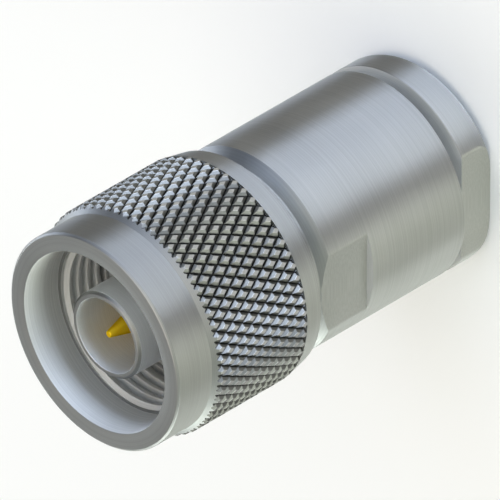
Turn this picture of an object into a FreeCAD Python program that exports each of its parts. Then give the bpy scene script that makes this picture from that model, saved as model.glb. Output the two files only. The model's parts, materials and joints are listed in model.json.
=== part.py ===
import FreeCAD, Part
import math
import os

import Sketcher
from FreeCAD import Placement, Rotation, Vector

# Coaxial cable plug with a knurled coupling nut, made for a clamped cable.
# It stands on the back of its clamp nut, mating end up: z runs from the cable to the mate.
# Every turned piece is drawn as a half section, r against z, from its own back face.

os.makedirs("parts", exist_ok=True)
doc = FreeCAD.newDocument("coaxial_plug")

# Driving sizes, in millimetres unless the note says otherwise
SIZES = [
    ("jacket_diameter", 10.3, "the cable that the plug is made for"),
    ("dielectric_diameter", 7.25, "the cable that the plug is made for"),
    ("wire_diameter", 2.25, "the cable that the plug is made for"),
    ("nut_jacket_gap", 0.25, "gap round the cable's jacket in the clamp nut"),
    ("washer_jacket_gap", 0.55, "gap round the cable's jacket in the thrust washer"),
    ("gasket_jacket_gap", 0.05, "gap round the cable's jacket in the rubber, unclamped"),
    ("dielectric_gap", 0.175, "gap round the cable's dielectric in the braid clamp"),
    ("wire_gap", 0.075, "gap round the cable's wire in the solder cup"),
    ("bar_diameter", 19.05, "the bar that body and clamp nut are turned from"),
    ("head_length", 3.43, "clamp nut head"),
    ("head_round", 1.5, "round at the back edge of the clamp nut"),
    ("head_flat_depth", 1.5875, "clamp nut, each of its two flats"),
    ("head_gap", 1.14, "gap between the head and the body, tightened by hand"),
    ("shank_length", 5.07, "clamp nut, threaded shank in front of the head"),
    ("shank_relief_depth", 0.45, "clamp nut, undercut below the thread"),
    ("shank_relief_width", 0.9, "clamp nut, undercut next to the head"),
    ("cable_entry_bevel", 0.5, "clamp nut, broken edge of the cable hole"),
    ("clamp_thread_bore", 15.2, "body, threaded bore at the back"),
    ("thread_entry_bevel", 0.3, "broken edges of the threaded bore and the shank"),
    ("thread_clearance", 0.1, "gap round the clamp nut's shank"),
    ("clamping_clearance", 0.15, "gap round the pieces in the threaded bore"),
    ("washer_thickness", 1.0, "thrust washer"),
    ("clamp_gasket_length", 4.0, "rubber clamping gasket"),
    ("gasket_land", 0.25, "rubber left on each side of the V groove"),
    ("ridge_height", 0.9, "braid clamp, V ridge that bites the gasket"),
    ("ridge_clearance", 0.05, "gap round the V ridge in its groove"),
    ("clamp_flange_length", 1.8, "braid clamp"),
    ("clamp_nose_length", 2.8, "braid clamp, tapered nose that spreads the braid"),
    ("clamp_nose_wall", 1.2, "braid clamp, wall at the tip of the nose"),
    ("clamp_nose_flare", 1.2, "braid clamp, what the nose gains in radius from tip to flange"),
    ("barrel_front_length", 3.7, "body, bottom of the threaded bore to front shoulder"),
    ("barrel_bevel", 0.875, "body, bevel behind the front shoulder"),
    ("shoulder_length", 0.98, "body, short collar in front of the bevel"),
    ("body_flat_depth", 0.795, "body, each of its two wrench flats"),
    ("body_flat_length", 6.36, "body, front shoulder to the end of the flats"),
    ("spigot_length", 6.9, "body, neck inside the coupling nut"),
    ("sleeve_diameter", 8.0, "outer contact"),
    ("sleeve_wall", 0.55, "outer contact"),
    ("sleeve_length", 8.53, "outer contact, in front of the body"),
    ("sleeve_bevel", 0.23, "outer contact, front edge"),
    ("bead_step", 0.75, "front insulator, how far it reaches past the sleeve's bore"),
    ("bead_length", 3.2, "front insulator"),
    ("bead_clearance", 0.02, "gap round the centre contact in the front insulator"),
    ("contact_seat_wall", 0.7, "outer contact, round the front insulator"),
    ("contact_seat_length", 3.7, "outer contact, where it is pressed into the body"),
    ("contact_seat_ledge", 0.5, "body, ledge that the outer contact is pressed against"),
    ("line_diameter", 3.04, "centre contact, behind the pin"),
    ("line_length", 6.9, "centre contact, collar to pin"),
    ("pin_diameter", 1.65, "centre contact"),
    ("pin_length", 2.92, "centre contact, straight part of the pin"),
    ("pin_tip_diameter", 0.6, "centre contact"),
    ("pin_cone_length", 2.1, "centre contact"),
    ("collar_step", 0.3, "centre contact, how far the collar stands out from the cup"),
    ("collar_length", 1.0, "centre contact"),
    ("tail_wall", 0.7, "centre contact, solder cup"),
    ("tail_length", 5.4, "centre contact, solder cup"),
    ("cup_depth", 4.4, "centre contact, hole for the cable's wire"),
    ("cup_cone_length", 0.7, "centre contact, drilled end of the hole"),
    ("solder_hole_diameter", 1.0, "centre contact, hole through the wall of the cup"),
    ("solder_hole_height", 3.2, "centre contact, hole above the back of the cup"),
    ("tail_clearance", 0.05, "gap round the cup and collar in the rear insulator"),
    ("interface_gasket_thickness", 1.0, "flat seal in the coupling nut"),
    ("interface_gasket_gap", 1.0, "gap between the flat seal and the sleeve"),
    ("coupling_clearance", 0.1, "gap between the neck of the body and the coupling nut"),
    ("ring_thickness", 1.0, "retaining ring, along the axis"),
    ("ring_width", 1.3, "retaining ring, from its inside to its outside"),
    ("ring_grip", 0.45, "retaining ring, how far it reaches into the coupling nut"),
    ("ring_split", 3.0, "retaining ring, gap between its ends"),
    ("ring_squeeze", 0.45, "room behind the ring in the body, for squeezing it in"),
    ("ring_groove_back", 1.6, "body, shoulder to the ring groove"),
    ("nut_float", 0.4, "how far ring and coupling nut slide forward"),
    ("ring_end_clearance", 0.05, "gap left at each end of the float"),
    ("ring_side_clearance", 0.1, "gap between ring and coupling nut, along the axis"),
    ("ring_rim_clearance", 0.2, "gap between ring and coupling nut, across the axis"),
    ("nut_seat_gap", 0.2, "gap between coupling nut and shoulder"),
    ("nut_length", 16.6, "coupling nut"),
    ("nut_thread_bore", 15.0, "coupling nut, crests of the thread"),
    ("nut_mouth_step", 0.75, "coupling nut, plain mouth, its step out from the thread"),
    ("nut_mouth_depth", 3.95, "coupling nut, plain mouth"),
    ("nut_bevel", 0.2, "coupling nut, front edge"),
    ("nut_back_bevel", 0.15, "coupling nut, back edges"),
    ("nut_band_diameter", 19.84, "coupling nut, plain band in front of the knurl"),
    ("nut_band_length", 3.88, "coupling nut, plain band in front of the knurl"),
    ("nut_tail_length", 2.15, "coupling nut, cone behind the knurl"),
    ("nut_tail_step", 0.03, "coupling nut, from the tops of the teeth down to the cone"),
    ("nut_tail_drop", 0.41, "coupling nut, what the cone loses in radius to the back face"),
    ("knurl_count", 60, "teeth round the coupling nut, a number"),
    ("knurl_root_diameter", 20.4, "bottom of the knurl grooves"),
    ("knurl_depth", 0.28, "bottom of the grooves to the flat tops of the teeth"),
    ("knurl_pitch", 1.906, "length of one tooth along the axis"),
    ("knurl_land", 0.4, "flat top of a tooth, a share of its length"),
    ("knurl_lead", 0.8, "front edge of the knurl to the first crossing of the grooves"),
    ("knurl_turn", 2.8, "turn of the knurl about the axis, in degrees"),
]

# How far a cutter reaches past the piece that it cuts, as a share of the piece's radius
CUTTER_REACH = 1.2
# Two lengths closer than this are the same, in millimetres
SAME_LENGTH = 1e-6
# Digits of an angle in radians that tell two corners of the knurl apart
ANGLE_DIGITS = 7

sheet = doc.addObject("Spreadsheet::Sheet", "Size")
for row, (alias, value, note) in enumerate(SIZES, 1):
    sheet.set(f"A{row}", note)
    sheet.set(f"B{row}", str(value))
    sheet.setAlias(f"B{row}", alias)
doc.recompute()


class Length:
    """A length with its value now and the sheet expression that keeps it."""

    def __init__(self, value, text):
        self.value = value
        self.text = text

    def __add__(self, other):
        other = as_length(other)
        return Length(self.value + other.value, f"{self.text} + {other.text}")

    def __sub__(self, other):
        other = as_length(other)
        return Length(self.value - other.value, f"{self.text} - ({other.text})")

    def __mul__(self, other):
        other = as_length(other)
        return Length(self.value * other.value, f"({self.text}) * ({other.text})")

    def __truediv__(self, other):
        other = as_length(other)
        return Length(self.value / other.value, f"({self.text}) / ({other.text})")


def as_length(number):
    return number if isinstance(number, Length) else Length(number, str(number))


def size(alias):
    """The length that a cell of the sheet holds."""
    return Length(float(getattr(sheet, alias)), f"{sheet.Name}.{alias}")


def radius(alias):
    return size(alias) / 2


zero = Length(0.0, "0")

# Heights of the back faces, from the base up the stack of clamped pieces
washer_height = size("head_length") + size("shank_length")
clamp_gasket_height = washer_height + size("washer_thickness")
clamp_gasket_front = clamp_gasket_height + size("clamp_gasket_length")
braid_clamp_height = clamp_gasket_front - size("ridge_height")
braid_clamp_front = clamp_gasket_front + size("clamp_flange_length") + size("clamp_nose_length")
body_height = size("head_length") + size("head_gap")
clamp_thread_depth = braid_clamp_front - body_height
shoulder_height = braid_clamp_front + size("barrel_front_length")
body_front = shoulder_height + size("spigot_length")
contact_seat_height = body_front - size("contact_seat_length")
centre_contact_height = contact_seat_height - size("collar_length") - size("tail_length")
ring_height = shoulder_height + size("ring_groove_back") + size("ring_end_clearance")
nut_height = shoulder_height + size("nut_seat_gap")

# Radii that more than one piece takes, in the clamp
clamped_radius = radius("clamp_thread_bore") - size("clamping_clearance")
gasket_bore = radius("jacket_diameter") + size("gasket_jacket_gap")
ridge_crest = (gasket_bore + clamped_radius) / 2
groove_half = (clamped_radius - gasket_bore) / 2 - size("gasket_land")

# Radii from the mating sleeve outwards, and in the centre contact from the wire outwards
sleeve_bore = radius("sleeve_diameter") - size("sleeve_wall")
bead_radius = sleeve_bore + size("bead_step")
seat_radius = bead_radius + size("contact_seat_wall")
insulator_radius = seat_radius - size("contact_seat_ledge")
cup_radius = radius("wire_diameter") + size("wire_gap")
tail_radius = cup_radius + size("tail_wall")
collar_radius = tail_radius + size("collar_step")

# Radii and the taper about the coupling nut
spigot_radius = radius("nut_thread_bore") - size("coupling_clearance")
ring_outside = radius("nut_thread_bore") + size("ring_grip")
ring_inside = ring_outside - size("ring_width")
knurl_tip = radius("knurl_root_diameter") + size("knurl_depth")
tail_back = knurl_tip - size("nut_tail_step") - size("nut_tail_drop")
tail_taper = size("nut_tail_drop") / size("nut_tail_length")


def origin_plane(body, role):
    return next(f for f in body.Origin.OriginFeatures if f.Role == role)


def bind(sketch, name, kind, geometry, point, length):
    """Keep one coordinate of a sketch point at a length, measured from the sketch origin."""
    if length.text == "0":
        axis = -2 if kind == "DistanceX" else -1
        sketch.addConstraint(Sketcher.Constraint("PointOnObject", geometry, point, axis))
        return
    index = sketch.addConstraint(
        Sketcher.Constraint(kind, -1, 1, geometry, point, length.value)
    )
    sketch.renameConstraint(index, name)
    sketch.setExpression(f"Constraints.{name}", length.text)


def closed_outline(sketch, corners, tag):
    """Draw a closed polygon in a sketch, with both coordinates of each corner bound."""
    points = [Vector(x.value, y.value, 0) for x, y in corners]
    first = sketch.GeometryCount
    count = len(points)
    for i in range(count):
        sketch.addGeometry(Part.LineSegment(points[i], points[(i + 1) % count]), False)
    for i in range(count):
        sketch.addConstraint(
            Sketcher.Constraint("Coincident", first + i, 2, first + (i + 1) % count, 1)
        )
    for i, (x, y) in enumerate(corners):
        bind(sketch, f"{tag}_across_{i}", "DistanceX", first + i, 1, x)
        bind(sketch, f"{tag}_up_{i}", "DistanceY", first + i, 1, y)


def new_sketch(body, name, plane, height=None):
    """A sketch on one of the body's own planes, lifted by a height along its normal."""
    sketch = body.newObject("Sketcher::SketchObject", name)
    sketch.AttachmentSupport = (origin_plane(body, plane), [""])
    sketch.MapMode = "FlatFace"
    if height is not None:
        sketch.AttachmentOffset = Placement(Vector(0, 0, height.value), Rotation())
        sketch.setExpression("AttachmentOffset.Base.z", height.text)
    return sketch


def turned(name, height, corners):
    """A turned piece: the half section's corners as (r, z), revolved about the axis."""
    body = doc.addObject("PartDesign::Body", name)
    body.Label = name
    sketch = new_sketch(body, f"{name}_section", "XZ_Plane")
    closed_outline(sketch, corners, "corner")
    turning = body.newObject("PartDesign::Revolution", f"{name}_turning")
    turning.Profile = sketch
    turning.ReferenceAxis = (sketch, ["V_Axis"])
    turning.Angle = 360
    body.setExpression("Placement.Base.z", height.text)
    doc.recompute()
    return body


def cut_down(body, name, top, depth, outlines):
    """Cut closed outlines, drawn in the x-y plane at a height, straight down by a depth."""
    before = body.Shape.Volume
    sketch = new_sketch(body, f"{name}_outline", "XY_Plane", top)
    for i, corners in enumerate(outlines):
        closed_outline(sketch, corners, f"cut_{i}")
    pocket = body.newObject("PartDesign::Pocket", name)
    pocket.Profile = sketch
    pocket.setExpression("Length", depth.text)
    doc.recompute()
    if body.Shape.Volume >= before:
        raise RuntimeError(f"{name} cut nothing")


def wrench_flats(body, name, outside, flat_depth, top, length):
    """Two flats that face along y, cut into a turned piece of the outside radius."""
    half = outside - flat_depth
    reach = outside * CUTTER_REACH
    near = [(reach, half), (reach, reach), (zero - reach, reach), (zero - reach, half)]
    far = [(x, zero - y) for x, y in near]
    cut_down(body, name, top, length, [near, far])


def circle_edge(feature, circle_radius, height):
    """The name of the edge that is a full circle of this radius at this height."""
    for number, edge in enumerate(feature.Shape.Edges, 1):
        curve = edge.Curve
        if not isinstance(curve, Part.Circle):
            continue
        off = max(abs(curve.Radius - circle_radius), abs(curve.Center.z - height))
        if off < SAME_LENGTH:
            return f"Edge{number}"
    raise RuntimeError("no such edge")


# Clamp nut: head with two flats, undercut, shank and cable bore
def clamp_nut():
    bore = radius("jacket_diameter") + size("nut_jacket_gap")
    bevel = size("cable_entry_bevel")
    head = radius("bar_diameter")
    shank = radius("clamp_thread_bore") - size("thread_clearance")
    entry = size("thread_entry_bevel")
    relief = shank - size("shank_relief_depth")
    relief_front = size("head_length") + size("shank_relief_width")
    face = size("head_length")
    front = washer_height
    corners = [
        (bore + bevel, zero),
        (head, zero),
        (head, face),
        (relief, face),
        (relief, relief_front),
        (shank, relief_front + size("shank_relief_depth")),
        (shank, front - entry),
        (shank - entry, front),
        (bore, front),
        (bore, bevel),
    ]
    body = turned("clamp_nut", zero, corners)
    turning = body.Tip
    rounding = body.newObject("PartDesign::Fillet", "clamp_nut_round")
    rounding.Base = (turning, [circle_edge(turning, head.value, 0.0)])
    rounding.setExpression("Radius", size("head_round").text)
    doc.recompute()
    wrench_flats(body, "clamp_nut_flats", head, size("head_flat_depth"), face, face)
    return body


# Thrust washer between the clamp nut and the rubber
def thrust_washer():
    thickness = size("washer_thickness")
    bore = radius("jacket_diameter") + size("washer_jacket_gap")
    corners = [
        (bore, zero),
        (clamped_radius, zero),
        (clamped_radius, thickness),
        (bore, thickness),
    ]
    return turned("thrust_washer", washer_height, corners)


# Rubber gasket, with a V groove in its front for the braid clamp's ridge
def clamp_gasket():
    front = size("clamp_gasket_length")
    floor = front - size("ridge_height") - size("ridge_clearance")
    corners = [
        (gasket_bore, zero),
        (clamped_radius, zero),
        (clamped_radius, front),
        (ridge_crest + groove_half, front),
        (ridge_crest, floor),
        (ridge_crest - groove_half, front),
        (gasket_bore, front),
    ]
    return turned("clamp_gasket", clamp_gasket_height, corners)


# Braid clamp: ridge towards the rubber, flange, and the nose the braid is combed over
def braid_clamp():
    bore = radius("dielectric_diameter") + size("dielectric_gap")
    nose = bore + size("clamp_nose_wall")
    ridge = size("ridge_height")
    half = groove_half - size("ridge_clearance")
    shoulder = ridge + size("clamp_flange_length")
    front = shoulder + size("clamp_nose_length")
    corners = [
        (bore, ridge),
        (ridge_crest - half, ridge),
        (ridge_crest, zero),
        (ridge_crest + half, ridge),
        (clamped_radius, ridge),
        (clamped_radius, shoulder),
        (nose + size("clamp_nose_flare"), shoulder),
        (nose, front),
        (bore, front),
    ]
    return turned("braid_clamp", braid_clamp_height, corners)


# Body: threaded barrel with two wrench flats, shoulder, and the neck for the coupling nut
def plug_body():
    barrel = radius("bar_diameter")
    collar = barrel - size("barrel_bevel")
    thread = radius("clamp_thread_bore")
    entry = size("thread_entry_bevel")
    step = clamp_thread_depth
    shoulder = step + size("barrel_front_length")
    front = shoulder + size("spigot_length")
    seat_floor = front - size("contact_seat_length")
    groove = ring_inside - size("ring_squeeze")
    groove_back = shoulder + size("ring_groove_back")
    groove_width = size("ring_thickness") + size("nut_float") + size("ring_end_clearance") * 2
    collar_back = shoulder - size("shoulder_length")
    corners = [
        (thread + entry, zero),
        (barrel, zero),
        (barrel, collar_back - size("barrel_bevel")),
        (collar, collar_back),
        (collar, shoulder),
        (spigot_radius, shoulder),
        (spigot_radius, groove_back),
        (groove, groove_back),
        (groove, groove_back + groove_width),
        (spigot_radius, groove_back + groove_width),
        (spigot_radius, front),
        (seat_radius, front),
        (seat_radius, seat_floor),
        (insulator_radius, seat_floor),
        (insulator_radius, step),
        (thread, step),
        (thread, entry),
    ]
    body = turned("plug_body", body_height, corners)
    flat_depth = size("body_flat_depth")
    wrench_flats(body, "body_flats", barrel, flat_depth, shoulder, size("body_flat_length"))
    return body


# Outer contact: pressed into the body, with the mating sleeve in front
def outer_contact():
    sleeve = radius("sleeve_diameter")
    bevel = size("sleeve_bevel")
    face = size("contact_seat_length")
    front = face + size("sleeve_length")
    corners = [
        (bead_radius, zero),
        (seat_radius, zero),
        (seat_radius, face),
        (sleeve, face),
        (sleeve, front - bevel),
        (sleeve - bevel, front),
        (sleeve_bore, front),
        (sleeve_bore, size("bead_length")),
        (bead_radius, size("bead_length")),
    ]
    return turned("outer_contact", contact_seat_height, corners)


# Front insulator: a bead that centres the contact in the sleeve
def front_insulator():
    bore = radius("line_diameter") + size("bead_clearance")
    length = size("bead_length")
    corners = [(bore, zero), (bead_radius, zero), (bead_radius, length), (bore, length)]
    return turned("front_insulator", contact_seat_height, corners)


# Centre contact: solder cup, collar, line and pin in one turned piece
def centre_contact():
    line = radius("line_diameter")
    pin = radius("pin_diameter")
    tip = radius("pin_tip_diameter")
    collar_back = size("tail_length")
    line_back = collar_back + size("collar_length")
    pin_back = line_back + size("line_length")
    cone_back = pin_back + size("pin_length")
    front = cone_back + size("pin_cone_length")
    corners = [
        (zero, size("cup_depth") + size("cup_cone_length")),
        (cup_radius, size("cup_depth")),
        (cup_radius, zero),
        (tail_radius, zero),
        (tail_radius, collar_back),
        (collar_radius, collar_back),
        (collar_radius, line_back),
        (line, line_back),
        (line, pin_back),
        (pin, pin_back),
        (pin, cone_back),
        (tip, front),
        (zero, front),
    ]
    body = turned("centre_contact", centre_contact_height, corners)
    before = body.Shape.Volume
    sketch = new_sketch(body, "solder_hole_outline", "XZ_Plane")
    centre = size("solder_hole_height")
    hole = radius("solder_hole_diameter")
    circle = Part.Circle(Vector(0, centre.value, 0), Vector(0, 0, 1), hole.value)
    index = sketch.addGeometry(circle, False)
    bind(sketch, "across", "DistanceX", index, 3, zero)
    bind(sketch, "up", "DistanceY", index, 3, centre)
    ring = sketch.addConstraint(Sketcher.Constraint("Radius", index, hole.value))
    sketch.renameConstraint(ring, "hole")
    sketch.setExpression("Constraints.hole", hole.text)
    pocket = body.newObject("PartDesign::Pocket", "solder_hole")
    pocket.Profile = sketch
    pocket.setExpression("Length", (tail_radius * 2).text)
    doc.recompute()
    if body.Shape.Volume >= before:
        raise RuntimeError("solder_hole cut nothing")
    return body


# Rear insulator: holds the cup, with a counterbore for the collar
def rear_insulator():
    gap = size("tail_clearance")
    bore = tail_radius + gap
    pocket = collar_radius + gap
    length = contact_seat_height - braid_clamp_front
    pocket_back = length - size("collar_length") - gap
    corners = [
        (bore, zero),
        (insulator_radius, zero),
        (insulator_radius, length),
        (pocket, length),
        (pocket, pocket_back),
        (bore, pocket_back),
    ]
    return turned("rear_insulator", braid_clamp_front, corners)


# Interface gasket: flat seal round the sleeve, on the front of the body
def interface_gasket():
    bore = radius("sleeve_diameter") + size("interface_gasket_gap")
    thickness = size("interface_gasket_thickness")
    corners = [
        (bore, zero),
        (spigot_radius, zero),
        (spigot_radius, thickness),
        (bore, thickness),
    ]
    return turned("interface_gasket", body_front, corners)


# Retaining ring: split, so that it can be squeezed into the body while the nut goes on
def retaining_ring():
    thickness = size("ring_thickness")
    corners = [
        (ring_inside, zero),
        (ring_outside, zero),
        (ring_outside, thickness),
        (ring_inside, thickness),
    ]
    body = turned("retaining_ring", ring_height, corners)
    half = size("ring_split") / 2
    reach = ring_outside * CUTTER_REACH
    gap = [(zero, zero - half), (reach, zero - half), (reach, half), (zero, half)]
    cut_down(body, "ring_gap", thickness, thickness, [gap])
    return body


def blank_ridge():
    """Radius and height of the ridge where the two cones of the unknurled nut meet."""
    band = radius("nut_band_diameter")
    knurl_front = size("nut_length") - size("nut_band_length")
    height = (band + knurl_front - tail_back) / (tail_taper + 1)
    return band + knurl_front - height, height


# Coupling nut before knurling. Where the teeth will be, it is left proud as two cones
# that run on from the knurl's front bevel and from the tail until they meet.
def coupling_nut_blank():
    bore = radius("nut_thread_bore")
    mouth = bore + size("nut_mouth_step")
    band = radius("nut_band_diameter")
    bevel = size("nut_bevel")
    back_bevel = size("nut_back_bevel")
    front = size("nut_length")
    knurl_front = front - size("nut_band_length")
    ridge_radius, ridge_height = blank_ridge()
    groove = ring_outside + size("ring_rim_clearance")
    gap = size("ring_side_clearance")
    ring_back = size("ring_groove_back") + size("ring_end_clearance") - size("nut_seat_gap")
    groove_back = ring_back - gap
    groove_front = ring_back + size("ring_thickness") + gap
    corners = [
        (bore + back_bevel, zero),
        (tail_back - back_bevel, zero),
        (tail_back + back_bevel * tail_taper, back_bevel),
        (ridge_radius, ridge_height),
        (band, knurl_front),
        (band, front - bevel),
        (band - bevel, front),
        (mouth, front),
        (mouth, front - size("nut_mouth_depth")),
        (bore, front - size("nut_mouth_depth")),
        (bore, groove_front),
        (groove, groove_front),
        (groove, groove_back),
        (bore, groove_back),
        (bore, back_bevel),
    ]
    return turned("coupling_nut_blank", zero, corners)


def clipped(polygon, height, keep_above):
    """The part of a flat polygon on one side of a height, as points in order."""
    side = 1.0 if keep_above else -1.0
    kept = []
    for here, there in zip(polygon, polygon[1:] + polygon[:1]):
        a = side * (here[2] - height)
        b = side * (there[2] - height)
        if a >= 0:
            kept.append(here)
        if a * b < 0:
            # the same end of the edge comes first from both sides, so both get one point
            low, high = sorted((here, there), key=lambda p: p[2])
            share = (height - low[2]) / (high[2] - low[2])
            kept.append(tuple(p + (q - p) * share for p, q in zip(low, high)))
    return kept


def tooth(centre_angle, centre_height, root, tip, half_angle, half_length, land):
    """The five flat faces of one knurl tooth: four flanks and a top, as point lists.

    Two grooves of each hand bound a tooth, and their crossings are its four low corners.
    Its top is flat, and the side corners of the top are where the flanks reach it.
    """
    def at(out, aside, up):
        c = math.cos(centre_angle)
        q = math.sin(centre_angle)
        return (out * c - aside * q, out * q + aside * c, centre_height + up)

    side_out = root * math.cos(half_angle)
    side_aside = root * math.sin(half_angle)
    top_half = land * half_length
    # the flank holds both low corners and the top's end corner, which fixes its tilt
    slope_up = (tip - root) / (half_length - top_half)
    drop = slope_up * half_length + (root - side_out)
    top_aside = side_aside * (slope_up * half_length - (tip - root)) / drop
    low = [at(root, 0, -half_length), at(side_out, side_aside, 0)]
    low += [at(root, 0, half_length), at(side_out, -side_aside, 0)]
    high = [at(tip, 0, -top_half), at(tip, top_aside, 0)]
    high += [at(tip, 0, top_half), at(tip, -top_aside, 0)]
    flanks = [[low[i], low[(i + 1) % 4], high[(i + 1) % 4], high[i]] for i in range(4)]
    return flanks + [high]


def loop(points):
    """The closed polygon through points in order."""
    return Part.makePolygon([Vector(*point) for point in points + points[:1]])


def knurl_rim(polygons, height):
    """The zigzag line that the teeth draw on a level plane, as points round the axis."""
    rim = {}
    for polygon in polygons:
        for x, y, z in polygon:
            if abs(z - height) < SAME_LENGTH:
                rim[round(math.atan2(y, x), ANGLE_DIGITS)] = (x, y, z)
    return [rim[angle] for angle in sorted(rim)]


# Knurling tool: a thick ring whose inside has the form of the teeth
def knurl_tool():
    count = int(sheet.knurl_count)
    root = sheet.knurl_root_diameter / 2
    tip = knurl_tip.value
    half_length = sheet.knurl_pitch / 2
    half_angle = math.pi / count
    outside = blank_ridge()[0].value * CUTTER_REACH
    bottom = sheet.nut_tail_length
    top = sheet.nut_length - sheet.nut_band_length
    first = top - sheet.knurl_lead
    turn = math.radians(sheet.knurl_turn)
    rows_up = math.ceil((top - first) / half_length) + 1
    rows_down = math.ceil((first - bottom) / half_length) + 1
    polygons = []
    for row in range(-rows_down, rows_up + 1):
        stagger = half_angle * ((row + 1) % 2)
        for step in range(count):
            angle = turn + stagger + 2 * half_angle * step
            height = first + row * half_length
            sides = tooth(angle, height, root, tip, half_angle, half_length, sheet.knurl_land)
            for side in sides:
                kept = clipped(clipped(side, bottom, True), top, False)
                if len(kept) > 2:
                    polygons.append(kept)
    faces = [Part.Face(loop(polygon)) for polygon in polygons]
    for height in (bottom, top):
        hole = loop(knurl_rim(polygons, height))
        circle = Part.Wire(Part.Circle(Vector(0, 0, height), Vector(0, 0, 1), outside).toShape())
        faces.append(Part.makeFace([circle, hole], "Part::FaceMakerBullseye"))
    wall = Part.Circle(Vector(0, 0, bottom), Vector(0, 0, 1), outside).toShape()
    faces.append(wall.extrude(Vector(0, 0, top - bottom)))
    shell = Part.Shell(faces)
    shell.sewShape()
    solid = Part.Solid(shell)
    if solid.Volume < 0:
        solid.reverse()
    tool = doc.addObject("Part::Feature", "knurl_tool")
    tool.Shape = solid
    return tool


# Coupling nut: the blank with the knurl cut into it
def coupling_nut():
    nut = doc.addObject("Part::Cut", "coupling_nut")
    nut.Label = "coupling_nut"
    nut.Base = coupling_nut_blank()
    nut.Tool = knurl_tool()
    nut.setExpression("Placement.Base.z", nut_height.text)
    doc.recompute()
    return nut


pieces = [
    clamp_nut(),
    thrust_washer(),
    clamp_gasket(),
    braid_clamp(),
    plug_body(),
    outer_contact(),
    front_insulator(),
    centre_contact(),
    rear_insulator(),
    interface_gasket(),
    retaining_ring(),
    coupling_nut(),
]
doc.recompute()

for thing in doc.Objects:
    if "Invalid" in thing.State or "Error" in thing.State:
        raise RuntimeError(f"{thing.Label} is {thing.State}")
for piece in pieces:
    shape = piece.Shape
    if shape.isNull() or not shape.isValid() or len(shape.Solids) != 1:
        raise RuntimeError(f"{piece.Label} is not one valid solid")
for piece in pieces:
    piece.Shape.exportStep(f"parts/{piece.Label}.step")
    box = piece.Shape.optimalBoundingBox(False)
    print(
        f"{piece.Label:18s} {piece.Shape.Volume:9.2f} mm3  z {box.ZMin:7.3f} to {box.ZMax:7.3f}"
        f"  x {box.XLength:6.2f}  y {box.YLength:6.2f}  faces {len(piece.Shape.Faces)}"
    )
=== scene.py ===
# %% [markdown]
# # Looks of a coaxial cable plug
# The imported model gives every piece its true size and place. This file gives the pieces that show
# their finished surfaces: smooth turning, broken edges, threads and a crisp knurl, and then the
# plating, gold, plastic and rubber. A turned piece is one outline carried round the axis, so nearly
# all of the modelling is one formula with different outlines. Every length below is in
# millimetres, and turns to metres where a mesh or a shader takes it.

import json
import math

import bmesh
import bpy
import numpy as np
from mathutils import Matrix, Vector


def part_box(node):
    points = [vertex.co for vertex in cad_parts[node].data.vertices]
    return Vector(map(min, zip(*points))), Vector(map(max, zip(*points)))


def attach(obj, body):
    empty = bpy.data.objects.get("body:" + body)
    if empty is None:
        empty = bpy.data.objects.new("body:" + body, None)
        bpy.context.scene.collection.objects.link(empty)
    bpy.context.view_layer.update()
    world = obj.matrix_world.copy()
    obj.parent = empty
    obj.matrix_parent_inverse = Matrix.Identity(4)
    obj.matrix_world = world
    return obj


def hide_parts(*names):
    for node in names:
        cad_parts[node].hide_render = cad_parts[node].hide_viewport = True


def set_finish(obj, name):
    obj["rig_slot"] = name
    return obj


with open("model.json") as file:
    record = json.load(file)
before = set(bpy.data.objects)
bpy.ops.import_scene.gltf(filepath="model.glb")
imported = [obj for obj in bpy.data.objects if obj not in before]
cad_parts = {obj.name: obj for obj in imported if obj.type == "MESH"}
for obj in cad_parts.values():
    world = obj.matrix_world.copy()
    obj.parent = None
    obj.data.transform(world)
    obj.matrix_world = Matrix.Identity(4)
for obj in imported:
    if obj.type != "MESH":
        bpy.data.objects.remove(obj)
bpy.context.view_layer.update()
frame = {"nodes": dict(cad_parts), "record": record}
nodes = frame["nodes"]
MM = 0.001
print("nodes:", ", ".join(sorted(nodes)))

# %% [markdown]
# ## Outlines with broken edges
# A lathe never leaves a corner perfectly sharp, and the thin line of light along each edge is what
# makes metal look real. A Bevel modifier could round the corners, but the outline is only a dozen
# points, so it is cheaper to round it before it is carried round: each corner becomes a short
# parabola between the two sides.

# %% Round the corners of an outline
EDGE = 0.05


def rounded(corners, steps=4):
    """Outline points (r, z) from corners (r, z, size), in millimetres.

    A corner with a size becomes (1-t)^2 a + 2 t (1-t) c + t^2 b, where c is the corner and
    a and b lie that far before and after it on its two sides.
    """
    points = np.array([corner[:2] for corner in corners], float)
    before = np.roll(points, 1, axis=0) - points
    after = np.roll(points, -1, axis=0) - points
    before /= np.linalg.norm(before, axis=1)[:, None]
    after /= np.linalg.norm(after, axis=1)[:, None]
    t = np.linspace(0, 1, steps + 1)[:, None]
    pieces = []
    for i, (_, _, size) in enumerate(corners):
        if not size:
            pieces.append(points[i : i + 1])
            continue
        start = points[i] + before[i] * size
        end = points[i] + after[i] * size
        pieces.append((1 - t) ** 2 * start + 2 * t * (1 - t) * points[i] + t**2 * end)
    return np.concatenate(pieces)


def ring(inside, outside, length, edge=EDGE):
    """The corners of a plain ring, from its inner back corner and outwards first."""
    return [(inside, 0, edge), (outside, 0, edge), (outside, length, edge), (inside, length, edge)]


print("the rounded outline of a ring has", len(rounded(ring(1, 2, 1))), "points")

# %% [markdown]
# ## From numbers to a mesh
# Points come as a grid: one row for each point of the outline, one column for each step round the
# axis. A loop could make the faces one by one, which is slow for the knurl's 87,000. The quads
# follow from the row and column numbers alone, so they are worked out as one array instead.

# %% Turn a grid of points into an object


def grid_faces(rows, columns, close_rows=True):
    """Quads of a grid whose point (i, j) is number i * columns + j. The columns close up."""
    i = np.arange(rows if close_rows else rows - 1)[:, None]
    j = np.arange(columns)[None, :]
    up, along = (i + 1) % rows, (j + 1) % columns
    quads = np.stack(
        np.broadcast_arrays(i * columns + j, i * columns + along, up * columns + along, up * columns + j),
        axis=-1,
    )
    return quads.reshape(-1, 4)


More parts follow.
